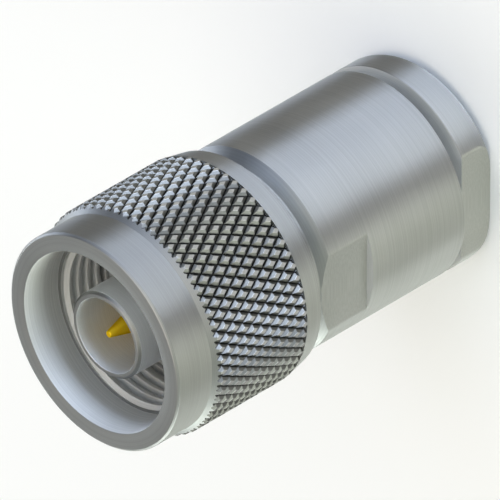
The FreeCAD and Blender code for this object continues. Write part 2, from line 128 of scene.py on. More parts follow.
def new_object(name, points, faces, sharp=35.0, merge=False):
    """An object at the origin from points in millimetres. Edges sharper than an angle stay sharp."""
    mesh = bpy.data.meshes.new(name)
    mesh.from_pydata((np.asarray(points) * MM).tolist(), [], faces)
    if merge:
        shell = bmesh.new()
        shell.from_mesh(mesh)
        bmesh.ops.remove_doubles(shell, verts=shell.verts, dist=1e-8)
        bmesh.ops.recalc_face_normals(shell, faces=shell.faces)
        shell.to_mesh(mesh)
        shell.free()
    mesh.shade_smooth()
    mesh.set_sharp_from_angle(angle=math.radians(sharp))
    piece = bpy.data.objects.new(name, mesh)
    bpy.context.scene.collection.objects.link(piece)
    return piece


def weigh_normals(piece):
    """Let the large faces set the shading, so that a broken edge doesn't bend the flats beside it."""
    modifier = piece.modifiers.new("weighted", "WEIGHTED_NORMAL")
    modifier.keep_sharp = True
    modifier.weight = 100


print("a grid of 3 by 4 points has", len(grid_faces(3, 4)), "faces")

# %% [markdown]
# ## Turned pieces
# Carrying an outline round the axis is what a lathe does. Blender's Screw modifier does it too, but
# then the columns are evenly spaced, and the two wrench flats need an edge exactly where the flat
# meets the round. So the columns are gathered at that angle, which is asin(half width / radius).
# A row that is narrower than the flats keeps its columns near the same place, at 84 degrees.

# %% Turn an outline, with or without two flats
EVEN_COLUMNS = 224
ROUND_COLUMNS = 112
FLAT_COLUMNS = 32
WIDEST_ROUND = math.radians(84)


def columns_for(radius, half):
    """Angles for each row: round side, flat, round side, flat, which change at asin(half / r)."""
    edge = np.arcsin(np.clip(half / np.maximum(radius, half), 0, 1))
    edge = np.minimum(edge, WIDEST_ROUND)[:, None]
    side = np.linspace(0, 1, ROUND_COLUMNS, endpoint=False)
    face = np.linspace(0, 1, FLAT_COLUMNS, endpoint=False)
    first = -edge + 2 * edge * side
    flat = edge + (math.pi - 2 * edge) * face
    return np.concatenate([first, flat, first + math.pi, flat + math.pi], axis=1)


def turned(name, outline, body, columns=EVEN_COLUMNS, flats=None):
    """The outline (r, z) carried round the axis: x = r cos a, y = r sin a, z = z.

    flats is (half width, mask of rows): there y is held between -half and +half.
    """
    radius, height = outline[:, 0], outline[:, 1]
    if flats is None:
        angle = np.linspace(0, 2 * math.pi, columns, endpoint=False)[None, :].repeat(len(outline), 0)
    else:
        half, rows = flats
        angle = columns_for(np.where(rows, radius, radius[rows].max()), half)
    x = radius[:, None] * np.cos(angle)
    y = radius[:, None] * np.sin(angle)
    if flats is not None:
        y = np.where(rows[:, None], np.clip(y, -half, half), y)
    z = np.broadcast_to(height[:, None], x.shape)
    on_axis = radius[0] == 0 and radius[-1] == 0
    points = np.stack([x, y, z], axis=-1).reshape(-1, 3)
    faces = grid_faces(len(outline), x.shape[1], close_rows=not on_axis).tolist()
    piece = new_object(name, points, faces, merge=on_axis)
    weigh_normals(piece)
    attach(piece, body)
    return piece


def place(node):
    """The height of a CAD node's back face, in millimetres."""
    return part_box(node)[0].z / MM


def stands_for(piece, node, slot):
    """The piece takes the CAD node's place and the record's finish of that name."""
    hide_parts(node)
    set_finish(piece, slot)
    print(node, "has", len(piece.data.polygons), "faces")


print("a turned piece has", EVEN_COLUMNS, "columns, with flats", 2 * (ROUND_COLUMNS + FLAT_COLUMNS))

# %% [markdown]
# ## Plug body
# The body is the barrel that shows in the middle: a collar, a bevel, and two flats for a wrench.
# Behind it lies the threaded bore for the clamp nut, in front the neck that the coupling nut turns
# on. Its sizes are radii, and heights above its own back face.

# %% Sizes of the plug body
BODY = place("plug_body")
BAR_R, COLLAR_R, NECK_R = 9.525, 8.65, 7.4
REAR_R, REAR_FLOOR = 7.6, 13.53
BODY_THREAD_ROOT = 8.0
BODY_FLAT_HALF, BODY_FLAT_END = 8.73, 10.87
BEVEL_START, COLLAR_BACK, SHOULDER = 15.375, 16.25, 17.23
RING_GROOVE_R, RING_GROOVE_BACK, RING_GROOVE_FRONT = 6.2, 18.83, 20.33
SEAT_R, SEAT_FLOOR, BODY_FRONT = 4.9, 20.43, 24.13
INSULATOR_R = 4.4
BEVEL_ROWS = 12
HAIR = 1e-4
print("the plug body is", BODY_FRONT, "mm long and", 2 * BAR_R, "mm wide")

# %% [markdown]
# A Boolean could mill the flats, but it leaves long thin faces. Here the rows of the outside that
# lie in front of the flats' end are held to the flats. The small straight wall at that end comes
# from two rows a hair apart: the upper one is held and the lower one isn't.

# %% Plug body
bevel_r = np.linspace(BAR_R, COLLAR_R, BEVEL_ROWS)[1:-1]
barrel = [(8.25, 0, EDGE), (BAR_R, 0, 0.12), (BAR_R, BODY_FLAT_END, 0), (BAR_R, BODY_FLAT_END + HAIR, 0)]
bevel = [(BAR_R, BEVEL_START, 0)] + [(r, BEVEL_START + BAR_R - r, 0) for r in bevel_r]
collar = [(COLLAR_R, COLLAR_BACK, 0.03), (COLLAR_R, SHOULDER, 0.08), (NECK_R, SHOULDER, 0)]
ring_groove = [(NECK_R, RING_GROOVE_BACK, EDGE), (RING_GROOVE_R, RING_GROOVE_BACK, 0)]
ring_groove += [(RING_GROOVE_R, RING_GROOVE_FRONT, 0), (NECK_R, RING_GROOVE_FRONT, EDGE)]
seat = [(NECK_R, BODY_FRONT, 0.08), (SEAT_R, BODY_FRONT, 0), (SEAT_R, SEAT_FLOOR, 0)]
seat += [(INSULATOR_R, SEAT_FLOOR, 0), (INSULATOR_R, REAR_FLOOR, 0), (REAR_R, REAR_FLOOR, 0)]
rear_bore = [(REAR_R, 6.9, 0), (BODY_THREAD_ROOT, 6.5, 0), (BODY_THREAD_ROOT, 0.25, 0.03)]
outline = rounded(barrel + bevel + collar + ring_groove + seat + rear_bore)
is_outside = outline[:, 0] > COLLAR_R - EDGE
is_milled = is_outside & (outline[:, 1] > BODY_FLAT_END + HAIR / 2)
outline[:, 1] += BODY
plug_body = turned("plug_body_turned", outline, "plug_body", flats=(BODY_FLAT_HALF, is_milled))
stands_for(plug_body, "plug_body", "plated_brass")

# %% [markdown]
# ## Clamp nut
# It screws into the back of the body and squeezes the rubber on the cable. Its head is rounded at
# the back and milled to two flats. Where the flat meets the round edge, the line between them
# curves. A Bevel modifier can't make that line, because it rounds the flat's edges too. So each row
# of the round gets its own angle from the formula above. The shank is turned down to the root of
# its thread, and the thread itself is added further on.

# %% Clamp nut
NUT_FLAT_HALF = 7.9375
HEAD_ROUND, HEAD_LENGTH = 1.5, 3.43
ROUND_ROWS = 14
SHANK_ROOT, SHANK_END = 7.05, 8.5
CABLE_R = 5.4

arc = np.linspace(-math.pi / 2, 0, ROUND_ROWS)
arc_r = BAR_R - HEAD_ROUND + HEAD_ROUND * np.cos(arc)
arc_z = HEAD_ROUND + HEAD_ROUND * np.sin(arc)
head = [(5.9, 0, 0.08)] + [(r, z, 0) for r, z in zip(arc_r, arc_z)] + [(BAR_R, HEAD_LENGTH, 0.1)]
shank = [(SHANK_ROOT, HEAD_LENGTH, 0.1), (SHANK_ROOT, SHANK_END - 0.3, 0), (6.8, SHANK_END, EDGE)]
cable_hole = [(CABLE_R, SHANK_END, 0.1), (CABLE_R, 0.5, 0.15)]
outline = rounded(head + shank + cable_hole)
is_milled = outline[:, 0] > NUT_FLAT_HALF
clamp_nut = turned("clamp_nut_turned", outline, "clamp_nut", flats=(NUT_FLAT_HALF, is_milled))
stands_for(clamp_nut, "clamp_nut", "plated_brass")

# %% [markdown]
# ## Contacts, insulators, washer and rubber
# The washer, the rubber and the braid clamp lie in a stack in the body's rear bore and share one
# radius, and the braid clamp's ridge fits the groove in the rubber. The sleeve is the outer contact
# in the mouth, and the front insulator sits in it like a bead.

# %% Sizes of the other turned pieces
STACK_R = 7.45
GASKET_R, GASKET_LENGTH = 5.2, 4.0
RIDGE_R, RIDGE_HEIGHT = 6.325, 0.9
RIDGE_HALF, GROOVE_HALF = 0.825, 0.875
FLANGE_FRONT, NOSE_FRONT, NOSE_BORE = 2.7, 5.5, 3.8
SLEEVE_R, SLEEVE_BORE, SLEEVE_FRONT = 4.0, 3.45, 12.23
BEAD_R, BEAD_LENGTH = 4.2, 3.2
print("the sleeve's wall is", round(SLEEVE_R - SLEEVE_BORE, 2), "mm thick")

# %% [markdown]
# These pieces are plain turnings, so a table of outlines is enough, and three of them are plain
# rings. Cylinders cut by Booleans would do too, but then each broken edge is a modifier more. Each
# outline starts at the inner back corner and runs outwards first, which keeps the metal on its left
# and the faces outwards.

# %% The other turned pieces
plain_turnings = {
    "thrust_washer": ring(5.7, STACK_R, 1.0),
    "clamp_gasket": [(GASKET_R, 0, 0.2), (STACK_R, 0, 0.2), (STACK_R, GASKET_LENGTH, 0.1)]
    + [(RIDGE_R + GROOVE_HALF, GASKET_LENGTH, 0), (RIDGE_R, GASKET_LENGTH - RIDGE_HEIGHT - EDGE, 0)]
    + [(RIDGE_R - GROOVE_HALF, GASKET_LENGTH, 0), (GASKET_R, GASKET_LENGTH, 0.1)],
    "braid_clamp": [(NOSE_BORE, RIDGE_HEIGHT, EDGE), (RIDGE_R - RIDGE_HALF, RIDGE_HEIGHT, 0)]
    + [(RIDGE_R, 0, EDGE), (RIDGE_R + RIDGE_HALF, RIDGE_HEIGHT, 0), (STACK_R, RIDGE_HEIGHT, EDGE)]
    + [(STACK_R, FLANGE_FRONT, EDGE), (6.2, FLANGE_FRONT, 0), (5.0, NOSE_FRONT, EDGE)]
    + [(NOSE_BORE, NOSE_FRONT, EDGE)],
    "outer_contact": [(BEAD_R, 0, EDGE), (SEAT_R, 0, EDGE), (SEAT_R, 3.7, EDGE), (SLEEVE_R, 3.7, 0)]
    + [(SLEEVE_R, SLEEVE_FRONT - 0.23, 0.04), (SLEEVE_R - 0.23, SLEEVE_FRONT, 0.04)]
    + [(SLEEVE_BORE, SLEEVE_FRONT, 0.06), (SLEEVE_BORE, BEAD_LENGTH, 0), (BEAD_R, BEAD_LENGTH, 0)],
    "front_insulator": ring(1.54, BEAD_R, BEAD_LENGTH),
    "rear_insulator": [(1.95, 0, EDGE), (INSULATOR_R, 0, EDGE), (INSULATOR_R, 6.9, EDGE)]
    + [(2.25, 6.9, EDGE), (2.25, 5.85, 0), (1.95, 5.85, 0)],
    "interface_gasket": ring(5.0, NECK_R, 1.0, edge=0.1),
}
slots = {part["node"]: part["material_slot"] for part in frame["record"]["subparts"]}
bodies = {node: body for body, group in frame["record"]["behaviour"]["bodies"].items() for node in group}
made = {"plug_body": plug_body, "clamp_nut": clamp_nut}
for node, corners in plain_turnings.items():
    outline = rounded(corners)
    outline[:, 1] += place(node)
    made[node] = turned(f"{node}_turned", outline, bodies[node])
    stands_for(made[node], node, slots[node])

# %% [markdown]
# ## Centre contact
# One turned pin: solder cup, collar, line and the gold tip that shows in the mouth. Its outline
# begins and ends on the axis, so the first and last rows are single points, merged after the grid is
# made.

# %% Centre contact
PIN = place("centre_contact")
PIN_R, PIN_BACK, PIN_FRONT = 0.825, 13.3, 18.32
LINE_R, CUP_R, CUP_BORE, STOP_R = 1.52, 1.9, 1.2, 2.2
CUP_LENGTH, STOP_FRONT = 5.4, 6.4
PIN_COLUMNS = 96

cup = [(0, 5.1, 0), (CUP_BORE, 4.4, 0), (CUP_BORE, 0, EDGE), (CUP_R, 0, 0.08), (CUP_R, CUP_LENGTH, 0)]
stop = [(STOP_R, CUP_LENGTH, EDGE), (STOP_R, STOP_FRONT, EDGE), (LINE_R, STOP_FRONT, 0)]
tip = [(LINE_R, PIN_BACK, 0.06), (PIN_R, PIN_BACK, 0), (PIN_R, 16.22, 0.1)]
tip += [(0.3, PIN_FRONT, 0.06), (0, PIN_FRONT, 0)]
outline = rounded(cup + stop + tip)
outline[:, 1] += PIN
pin = turned("centre_contact_turned", outline, "plug_body", columns=PIN_COLUMNS)
print("the pin is", 2 * PIN_R, "mm thick")

# %% [markdown]
# Solder reaches the wire through a small hole in the cup's wall. The hole goes across the axis, so
# no outline can hold it, and it is drilled with a Boolean, which is then applied. That leaves a few
# faces with no area beside the hole, so those are dissolved.

# %% Solder hole
HOLE_R, HOLE_HEIGHT, HOLE_DEPTH = 0.5, 3.2, 4.0
HOLE_COLUMNS = 48

drill_outline = rounded([(0, 0, 0), (HOLE_R, 0, 0), (HOLE_R, HOLE_DEPTH, 0), (0, HOLE_DEPTH, 0)])
drill = turned("drill", drill_outline, "plug_body", columns=HOLE_COLUMNS)
lay_down = Matrix.Rotation(-math.pi / 2, 4, "X")
drill.data.transform(Matrix.Translation((0, 0, (PIN + HOLE_HEIGHT) * MM)) @ lay_down)
hole = pin.modifiers.new("solder_hole", "BOOLEAN")
hole.operation, hole.object, hole.solver = "DIFFERENCE", drill, "EXACT"
drilled = bpy.data.meshes.new_from_object(pin.evaluated_get(bpy.context.evaluated_depsgraph_get()))
pin.modifiers.clear()
pin.data = drilled
bpy.data.objects.remove(drill)

shell = bmesh.new()
shell.from_mesh(drilled)
bmesh.ops.remove_doubles(shell, verts=shell.verts, dist=1e-6)
bmesh.ops.dissolve_degenerate(shell, edges=shell.edges, dist=1e-6)
open_edges = sum(not edge.is_manifold for edge in shell.edges)
shell.to_mesh(drilled)
shell.free()
print("the drilled pin has", open_edges, "open edges")
made["centre_contact"] = pin
stands_for(pin, "centre_contact", "gold_plated_brass")

# %% [markdown]
# ## Knurled coupling nut
# Two hands of V grooves cross at about sixty degrees and leave rows of small diamonds with flat
# tops. In lattice steps a round the nut and b along it, the grooves lie where a + b or a - b is
# even. So the height at a point depends only on its distance from the nearer of those two lines.
# A Displace modifier could press the pattern into a smooth nut, but it would blur every edge.
# Here the grid's rows and columns are fifths of a step, and each quad is split along the groove
# beside it, so every groove and every edge of a top runs exactly along edges of the mesh.

# %% Knurl formula
NUT = place("coupling_nut")
TEETH = 60
PARTS = 5
STEP_LENGTH = 1.906 / 2
ROOT, DEPTH = 10.2, 0.28
FLANK_SHARE = 0.6
KNURL_BACK, KNURL_FRONT, FIRST_CROSSING = 2.15, 12.72, 11.92
TURN = math.radians(2.8)


def to_groove(x):
    """Distance of x from the nearest even number, which is 0 in a groove and 1 between two."""
    return np.abs((x + 1) % 2 - 1)


def knurl_radius(angle, height):
    """Root radius plus the depth times a flank that rises over 0.6 of a step to the flat top."""
    a = (angle - TURN) * TEETH / math.pi
    b = (height - FIRST_CROSSING) / STEP_LENGTH
    away = np.minimum(to_groove(a + b), to_groove(a - b))
    return ROOT + DEPTH * np.minimum(away / FLANK_SHARE, 1)


print("the knurl is", knurl_radius(TURN, FIRST_CROSSING), "mm in a crossing of two grooves")

# %% [markdown]
# At the back the grooves stop at the tail cone. In front they run out through a 45 degree bevel, and
# the line where a flank meets the bevel isn't a row of the grid. For each column the crossing is
# looked up on a fine scale, and the last rows are spread up to it, so the bevel's edge is clean.

# %% Knurled rows
BAND = 9.92
FINE_STEPS = 400
columns = 2 * TEETH * PARTS
angle = TURN + np.arange(columns) * math.pi / (TEETH * PARTS)
below = int((FIRST_CROSSING - KNURL_BACK) / (STEP_LENGTH / PARTS))
lattice = FIRST_CROSSING + np.arange(-below, 2) * STEP_LENGTH / PARTS
heights = np.concatenate([[KNURL_BACK], lattice])[:, None].repeat(columns, 1)
fine = np.linspace(lattice[-1], KNURL_FRONT, FINE_STEPS)[:, None]
bevel_radius = BAND + KNURL_FRONT - fine
cut = fine[np.argmax(knurl_radius(angle[None, :], fine) >= bevel_radius, axis=0), 0]
last_rows = lattice[-1] + (cut - lattice[-1]) * np.array([1 / 3, 2 / 3, 1])[:, None]
knurl_z = np.concatenate([heights, last_rows])
knurl_r = knurl_radius(angle[None, :], knurl_z)
print("knurl grid:", knurl_z.shape[0], "rows by", columns, "columns")

# %% [markdown]
# The rest of the nut is an ordinary outline: plain band, mouth, thread bore, ring groove and tail.
# It is laid round the knurled rows and closes the solid. Between knurled rows each quad is split
# in two, along the hand of groove that is nearer.

# %% Coupling nut
NUT_LENGTH = 16.6
MOUTH_R, MOUTH_FLOOR = 8.25, 12.65
NUT_THREAD_ROOT, NUT_THREAD_CREST = 7.94, 7.5
RING_ROOM_R, RING_ROOM_BACK, RING_ROOM_FRONT = 8.15, 1.35, 2.55

mouth = [(BAND, KNURL_FRONT, 0), (BAND, NUT_LENGTH - 0.2, 0.04), (BAND - 0.2, NUT_LENGTH, 0.04)]
mouth += [(MOUTH_R, NUT_LENGTH, 0.06), (MOUTH_R, MOUTH_FLOOR, 0), (NUT_THREAD_ROOT, MOUTH_FLOOR, 0)]
thread_bore = [(NUT_THREAD_ROOT, 8.1, 0), (NUT_THREAD_CREST, 7.9, 0)]
ring_room = [(NUT_THREAD_CREST, RING_ROOM_FRONT, 0), (RING_ROOM_R, RING_ROOM_FRONT, 0)]
ring_room += [(RING_ROOM_R, RING_ROOM_BACK, 0), (NUT_THREAD_CREST, RING_ROOM_BACK, 0)]
tail = [(NUT_THREAD_CREST, 0.15, 0), (NUT_THREAD_CREST + 0.15, 0, 0)]
tail += [(9.89, 0, 0.03), (10.065, 0.15, 0.03), (10.45, KNURL_BACK, 0)]
plain = rounded(mouth + thread_bore + ring_room + tail, steps=3)

radius = np.concatenate([knurl_r, plain[:, :1].repeat(columns, 1)])
height = np.concatenate([knurl_z, plain[:, 1:].repeat(columns, 1)]) + NUT
points = np.stack([radius * np.cos(angle), radius * np.sin(angle), height], axis=-1).reshape(-1, 3)
quads = grid_faces(len(radius), columns)
in_knurl = quads[: (len(knurl_r) - 1) * columns]
middle_a = (np.arange(columns) + 0.5) / PARTS
middle_b = (0.5 * (knurl_z[1:, 0] + knurl_z[:-1, 0]) - FIRST_CROSSING)[:, None] / STEP_LENGTH
rising = (to_groove(middle_a - middle_b) < to_groove(middle_a + middle_b)).reshape(-1)
up, down = in_knurl[rising], in_knurl[~rising]
triangles = np.concatenate([up[:, [0, 1, 2]], up[:, [0, 2, 3]], down[:, [0, 1, 3]], down[:, [1, 2, 3]]])
faces = triangles.tolist() + quads[len(in_knurl) :].tolist()
is_knurl = np.arange(len(faces)) < len(triangles)
coupling_nut = new_object("coupling_nut_knurled", points, faces, sharp=20)
weigh_normals(coupling_nut)
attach(coupling_nut, "coupling_nut")
made["coupling_nut"] = coupling_nut
stands_for(coupling_nut, "coupling_nut", "plated_brass")

# %% [markdown]
# ## Threads
# A thread is a ridge of 60 degree section carried along a helix. The Screw modifier makes a helix
# too, but it can't let the ridge fade out at its ends, as a thread does where the tool leaves the
# metal. Each ridge is its own closed mesh and sits a little way into the wall that it belongs to.

# %% Threads
SUNK = 0.06
FLANK = math.tan(math.radians(30))
FADE_TURNS = 0.3
SECTIONS_A_TURN = 90


def thread(name, body, root, crest, pitch, start, turns):
    """A ridge along a helix: angle 2 pi s, height start + pitch s, for s from 0 to turns.

    Its section is a trapezoid from the root radius to the crest radius, with 30 degree flanks.
    At both ends its height fades to nothing and its width to a quarter.
    """
    sunk = root + SUNK * math.copysign(1, root - crest)
    top = pitch / 8
    foot = top + (abs(crest - root) + SUNK) * FLANK
    section = np.array([(sunk, -foot), (crest, -top), (crest, top), (sunk, foot)])
    s = np.linspace(0, turns, int(turns * SECTIONS_A_TURN))[:, None]
    fade = np.clip(np.minimum(s, turns - s) / FADE_TURNS, 0, 1)
    fade = fade * fade * (3 - 2 * fade)
    r = sunk + (section[None, :, 0] - sunk) * fade
    z = start + pitch * s + section[None, :, 1] * (0.25 + 0.75 * fade) * (fade > 0)
    turn = 2 * math.pi * s
    points = np.stack([r * np.cos(turn), r * np.sin(turn), z], axis=-1).reshape(-1, 3)
    faces = grid_faces(len(s), 4, close_rows=False).tolist()
    piece = new_object(name, points, faces, sharp=20, merge=True)
    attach(piece, body)
    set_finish(piece, "plated_brass")
    print(name, "has", turns, "turns")
    return piece


COUPLING_PITCH, CLAMP_PITCH = 1.058, 0.907
made["coupling_thread"] = thread(
    "coupling_thread", "coupling_nut", NUT_THREAD_ROOT, NUT_THREAD_CREST, COUPLING_PITCH, NUT + 8.5, 3.8
)
made["shank_thread"] = thread("shank_thread", "clamp_nut", SHANK_ROOT, 7.48, CLAMP_PITCH, 4.6, 4.0)
made["barrel_thread"] = thread(
    "barrel_thread", "plug_body", BODY_THREAD_ROOT, 7.62, CLAMP_PITCH, BODY + 0.7, 6.0
)

# %% [markdown]
# ## Short words for nodes
# A material is a small graph of nodes. Each could be laid out by hand in the Shader Editor, but a
# script says it more shortly: these helpers add a node or two and give back the output, so that the
# materials further on read like formulas.

# %% Node helpers


def link(tree, source, target):
    """A wire from one socket to another."""
    tree.links.new(source, target)


def math_node(tree, operation, first, second=0.5):
    """A Math node; each operand is a socket or a number."""
    node = tree.nodes.new("ShaderNodeMath")
    node.operation = operation
    for socket, value in zip(node.inputs, (first, second)):
        if isinstance(value, bpy.types.NodeSocket):
            link(tree, value, socket)
        else:
            socket.default_value = value
    return node.outputs[0]


def map_range(tree, value, low, high, to_low=0.0, to_high=1.0):
    """The value's place between low and high, as the same place between the other two."""
    node = tree.nodes.new("ShaderNodeMapRange")
    for socket, number in zip(node.inputs[1:5], (low, high, to_low, to_high)):
        socket.default_value = number
    link(tree, value, node.inputs[0])
    return node.outputs[0]


def axis_coordinates(tree):
    """The place, its distance from the axis and its height, in metres, from Object coordinates."""
    texture_place = tree.nodes.new("ShaderNodeTexCoord")
    parts = tree.nodes.new("ShaderNodeSeparateXYZ")
    link(tree, texture_place.outputs["Object"], parts.inputs[0])
    squares = [math_node(tree, "MULTIPLY", parts.outputs[k], parts.outputs[k]) for k in (0, 1)]
    radius = math_node(tree, "SQRT", math_node(tree, "ADD", *squares))
    return texture_place.outputs["Object"], radius, parts.outputs[2]


print("helpers:", math_node.__name__, map_range.__name__, axis_coordinates.__name__)

# %% [markdown]
# ## Effects that materials share
# An effect that several finishes need is a node group: a small graph with named inputs and outputs,
# built once and placed in each material with a number of its own. Copies of the nodes in every
# material would look the same, but a change would have to be made in each of them.

# %% Empty node group


def new_group(name, label, value, outputs):
    """An empty node group with one number to set, and number outputs."""
    group = bpy.data.node_groups.new(name, "ShaderNodeTree")
    socket = group.interface.new_socket(label, in_out="INPUT", socket_type="NodeSocketFloat")
    socket.default_value = value
    for output in outputs:
        group.interface.new_socket(output, in_out="OUTPUT", socket_type="NodeSocketFloat")
    return group, group.nodes.new("NodeGroupInput"), group.nodes.new("NodeGroupOutput")


print("helper:", new_group.__name__)

# %% [markdown]
# ## Marks of the lathe
# Turned metal has faint rings where the tool went round, on cylinders and faces alike. Any texture
# that reads only the distance from the axis and the height along it makes such rings. A Wave texture
# would repeat too evenly, so this is noise on those two numbers. The metals share the group, so it
# is built once, and gives a height for the bump and a tone for the colour.

# %% Node group for turning marks
NOISE_LOW, NOISE_HIGH = 0.35, 0.65
turning, given, result = new_group("turning_marks", "Rings per metre", 9000.0, ["Height", "Tone"])
_, radius_socket, height_socket = axis_coordinates(turning)
ring_place = turning.nodes.new("ShaderNodeCombineXYZ")
for socket, value in zip(ring_place.inputs, (radius_socket, height_socket)):
    link(turning, math_node(turning, "MULTIPLY", value, given.outputs[0]), socket)
rings = turning.nodes.new("ShaderNodeTexNoise")
rings.inputs["Scale"].default_value = 1.0
rings.inputs["Detail"].default_value = 2.0
link(turning, ring_place.outputs[0], rings.inputs["Vector"])
link(turning, rings.outputs["Fac"], result.inputs["Height"])
link(turning, map_range(turning, rings.outputs["Fac"], NOISE_LOW, NOISE_HIGH), result.inputs["Tone"])
print("group:", turning.name)

# %% [markdown]
# ## Handling
# Parts that have been picked up aren't equally smooth everywhere. Fingerprints could be painted, but
# at this size they only show as soft patches, and a slow noise in space gives those. It is used for
# the roughness alone.

# %% Node group for handling
PATCHES = 160.0


def noise_in_space(group, scale, detail):
    """Noise on the place itself: scale is a socket with the number of spots per metre."""
    texture_place = group.nodes.new("ShaderNodeTexCoord")
    noise = group.nodes.new("ShaderNodeTexNoise")
    noise.inputs["Detail"].default_value = detail
    link(group, texture_place.outputs["Object"], noise.inputs["Vector"])
    link(group, scale, noise.inputs["Scale"])
    return noise.outputs["Fac"]


handling, given, result = new_group("handling", "Patches per metre", PATCHES, ["Mask"])
spots = noise_in_space(handling, given.outputs[0], detail=3.0)
link(handling, map_range(handling, spots, NOISE_LOW, NOISE_HIGH), result.inputs["Mask"])
print("group:", handling.name)

# %% [markdown]
# ## Turned metal
# Every finish is a Principled shader. Numbers that are the same all over a piece are set on the
# shader's own sockets, and only what changes over the surface comes from other nodes.

# %% Material helpers


def new_material(name, **values):
    """A material with a Principled shader whose plain sockets get these values."""
    material = bpy.data.materials.new(name)
    material.use_nodes = True
    shader = material.node_tree.nodes["Principled BSDF"]
    for label, value in values.items():
        shader.inputs[label.replace("_", " ")].default_value = value
    return material, material.node_tree, shader


def place_group(tree, group, value):
    """The group in a material, with its number set."""
    node = tree.nodes.new("ShaderNodeGroup")
    node.node_tree = group
    node.inputs[0].default_value = value
    return node


def blend_colour(tree, mask, first, second):
    """A colour that goes from the first to the second as the mask goes from 0 to 1."""
    mix = tree.nodes.new("ShaderNodeMix")
    mix.data_type = "RGBA"
    link(tree, mask, mix.inputs["Factor"])
    for socket, value in zip((mix.inputs[6], mix.inputs[7]), (first, second)):
        if isinstance(value, bpy.types.NodeSocket):
            link(tree, value, socket)
        else:
            socket.default_value = (*value, 1)
    return mix.outputs[2]


def add_relief(tree, shader, height, strength, distance):
    """A Bump node from a height to the shader's normal."""
    relief = tree.nodes.new("ShaderNodeBump")
    relief.inputs["Strength"].default_value = strength
    relief.inputs["Distance"].default_value = distance * MM
    link(tree, height, relief.inputs["Height"])
    link(tree, relief.outputs[0], shader.inputs["Normal"])


print("helpers:", new_material.__name__, place_group.__name__, blend_colour.__name__, add_relief.__name__)

# %% [markdown]
# Fine rings spread a reflection along the axis, which is why a turned bar shows bright bands along
# its length. Modelling the rings would take millions of faces, so the shader does it: the spread is
# its Anisotropic value, and its direction is the way along the outline, which is the surface normal
# crossed with the direction round the axis.

# %% Direction of the spread


def cross_product(tree, first, second):
    """The vector at right angles to both; each is a socket or three numbers."""
    node = tree.nodes.new("ShaderNodeVectorMath")
    node.operation = "CROSS_PRODUCT"
    for socket, value in zip(node.inputs, (first, second)):
        if isinstance(value, bpy.types.NodeSocket):
            link(tree, value, socket)
        else:
            socket.default_value = value
    return node.outputs[0]


def along_outline(tree, shader):
    """Point the shader's spread along the outline: normal x (axis x place)."""
    space, _, _ = axis_coordinates(tree)
    to_world = tree.nodes.new("ShaderNodeVectorTransform")
    to_world.vector_type = "VECTOR"
    to_world.convert_from, to_world.convert_to = "OBJECT", "WORLD"
    link(tree, cross_product(tree, (0, 0, 1), space), to_world.inputs[0])
    surface = tree.nodes.new("ShaderNodeNewGeometry")
    link(tree, cross_product(tree, surface.outputs["Normal"], to_world.outputs[0]), shader.inputs["Tangent"])


print("helper:", along_outline.__name__)

# %% [markdown]
# One function makes every metal of the plug. It takes the colour of the crests and of the valleys
# between the rings, the roughness and the spread. Metal turns whiter where it is seen at a low
# angle. A dulled plating does so less than a polished one, which is what the edge's tint is for.

# %% Turned metal
RING_DEPTH = 0.02
TOUCHED = 1.12


def turned_metal(name, light, dark, roughness, spread, relief=0.2, rings=9000.0, edge=0.15):
    """Metal with turning marks in colour and bump, and soft patches in its roughness."""
    material, tree, shader = new_material(name, Metallic=1.0, Anisotropic=spread)
    shader.inputs["Specular Tint"].default_value = (edge, edge, edge, 1)
    marks = place_group(tree, turning, rings)
    touched = place_group(tree, handling, PATCHES)
    link(tree, blend_colour(tree, marks.outputs["Tone"], dark, light), shader.inputs["Base Color"])
    patches = map_range(tree, touched.outputs["Mask"], 0, 1, roughness, roughness * TOUCHED)
    link(tree, patches, shader.inputs["Roughness"])
    add_relief(tree, shader, marks.outputs["Height"], relief, RING_DEPTH)
    along_outline(tree, shader)
    return material


print("helper:", turned_metal.__name__)

# %% [markdown]
# The plug's brass is plated a silver grey with a trace of yellow. Its copies differ as painted light and
# shade: body and clamp nut are painted a shade lighter than the coupling nut, the faces across the axis a
# shade darker, the bores and the faces in the gaps much lighter, and the sleeve lightest, on top of its
# brighter plating. The gold of the pin and the bronze of the spring ring are metals of the same kind, with
# finer and coarser rings.

# %% Metals


def grey(level):
    """The plating's silver grey, which has a little less blue than red and green."""
    return level, level, level - 0.015


# painted light: the body's and the clamp nut's plating are painted a shade lighter than the coupling nut's
barrel_plating = turned_metal("barrel_plating", grey(0.465), grey(0.415), 0.47, 1.0, relief=0.25)
clamp_plating = turned_metal("clamp_plating", (0.52, 0.52, 0.5), (0.47, 0.47, 0.45), 0.47, 1.0, relief=0.25)
plating = turned_metal("grey_plating", grey(0.425), grey(0.38), 0.49, 1.0, relief=0.25)
# painted light: a much lighter plating for bores, the mouth and the faces in the gaps, against the shade
# there
painted_light_plating = turned_metal("bore_plating", grey(0.76), grey(0.7), 0.7, 0.0)
# painted shade: the faces across the axis are painted a shade darker, besides their finer finish
faced_and_shaded = turned_metal("faced_plating", (0.38, 0.385, 0.38), (0.345, 0.35, 0.345), 0.4, 0.1)
# painted light: the sleeve is painted lighter still, on top of its brighter contact plating
sleeve_plating_and_light = turned_metal("bright_plating", (0.84, 0.86, 0.88), (0.78, 0.8, 0.82), 0.6, 0.2)
gold = turned_metal("gold_plating", (1.0, 0.7, 0.03), (1.0, 0.64, 0.02), 0.44, 0.3, rings=12000.0)
bronze = turned_metal("drawn_bronze", (0.6, 0.42, 0.25), (0.5, 0.35, 0.2), 0.35, 0.5, rings=6000.0)
print("metals:", barrel_plating.name, clamp_plating.name, plating.name, painted_light_plating.name)
print("metals:", faced_and_shaded.name, sleeve_plating_and_light.name, gold.name, bronze.name)
